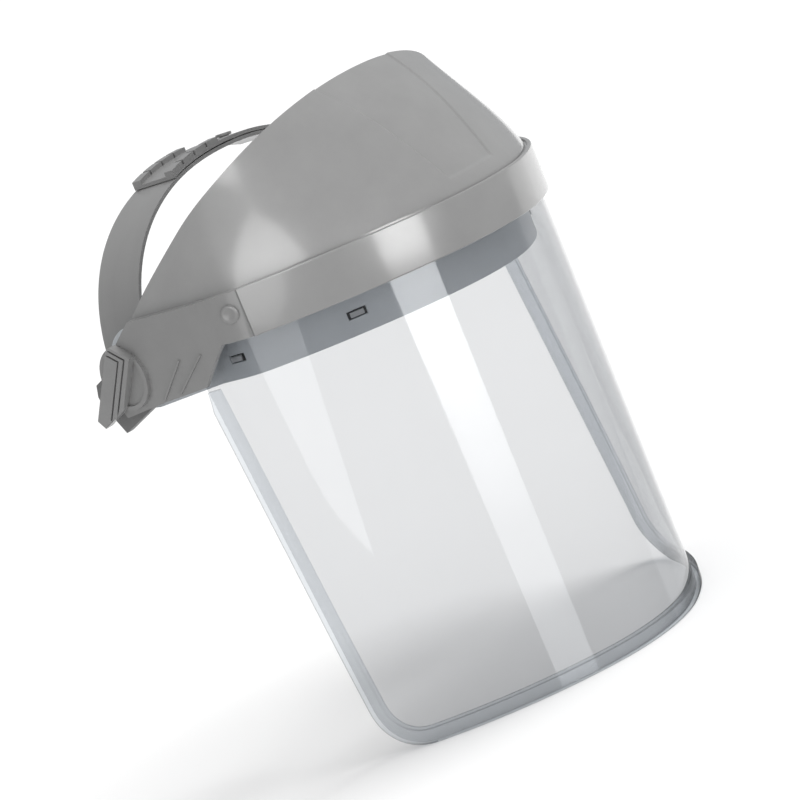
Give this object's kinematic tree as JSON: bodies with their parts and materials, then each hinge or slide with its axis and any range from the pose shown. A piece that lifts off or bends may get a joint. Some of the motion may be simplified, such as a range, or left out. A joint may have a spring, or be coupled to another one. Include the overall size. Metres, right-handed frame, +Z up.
{
  "type": "face shield",
  "caption": "Face shield with a domed brow guard, a curved clear visor, a headband hinged at both sides and a swing-up rear strap.",
  "frame": {"origin": "middle of the bounding box in plan, at the level of the visor's lower rim, on which the shield stands", "axes": "+Z up as worn, -Y the way the wearer looks, +X the wearer's left"},
  "size_m": [0.246, 0.1879, 0.3046],
  "materials": {
    "grey_plastic": "smooth moulded, semi-gloss, mid grey",
    "strap_plastic": "smooth moulded, satin, mid grey",
    "band_plastic": "satin, mid grey",
    "clear_sheet": "clear polycarbonate, polished",
    "pad_cloth": "foam-backed brushed cloth, dark grey",
    "pin_plastic": "satin, grey",
    "washer_plastic": "natural nylon, satin"
  },
  "bodies": {
    "headband": {"forehead_band": "band_plastic", "hub_right": "grey_plastic", "hub_left": "grey_plastic", "pivot_pin_right": "pin_plastic", "pivot_pin_left": "pin_plastic", "pivot_washer_right": "washer_plastic", "pivot_washer_left": "washer_plastic", "sweat_pad": "pad_cloth", "pad_tabs": "band_plastic"},
    "browguard": {"brow_dome": "grey_plastic", "visor_clips": "grey_plastic", "side_plate_right": "grey_plastic", "side_plate_left": "grey_plastic", "detent_spring_right": "grey_plastic", "detent_spring_left": "grey_plastic", "visor": "clear_sheet", "visor_stud_right": "grey_plastic", "visor_stud_left": "grey_plastic", "stud_washer_right": "washer_plastic", "stud_washer_left": "washer_plastic"},
    "rear_strap": {"rear_strap_right": "strap_plastic", "rear_strap_left": "strap_plastic", "strap_peg": "strap_plastic"}
  },
  "joints": [
    {"name": "visor_lift", "type": "hinge", "parent": "headband", "child": "browguard", "pos_m": [0, 0.064, 0.2093], "axis": [-1, 0, 0], "range_deg": [0, 80]},
    {"name": "strap_swing", "type": "hinge", "parent": "headband", "child": "rear_strap", "pos_m": [0, 0.064, 0.2093], "axis": [-1, 0, 0], "range_deg": [-10, 95]}
  ]
}
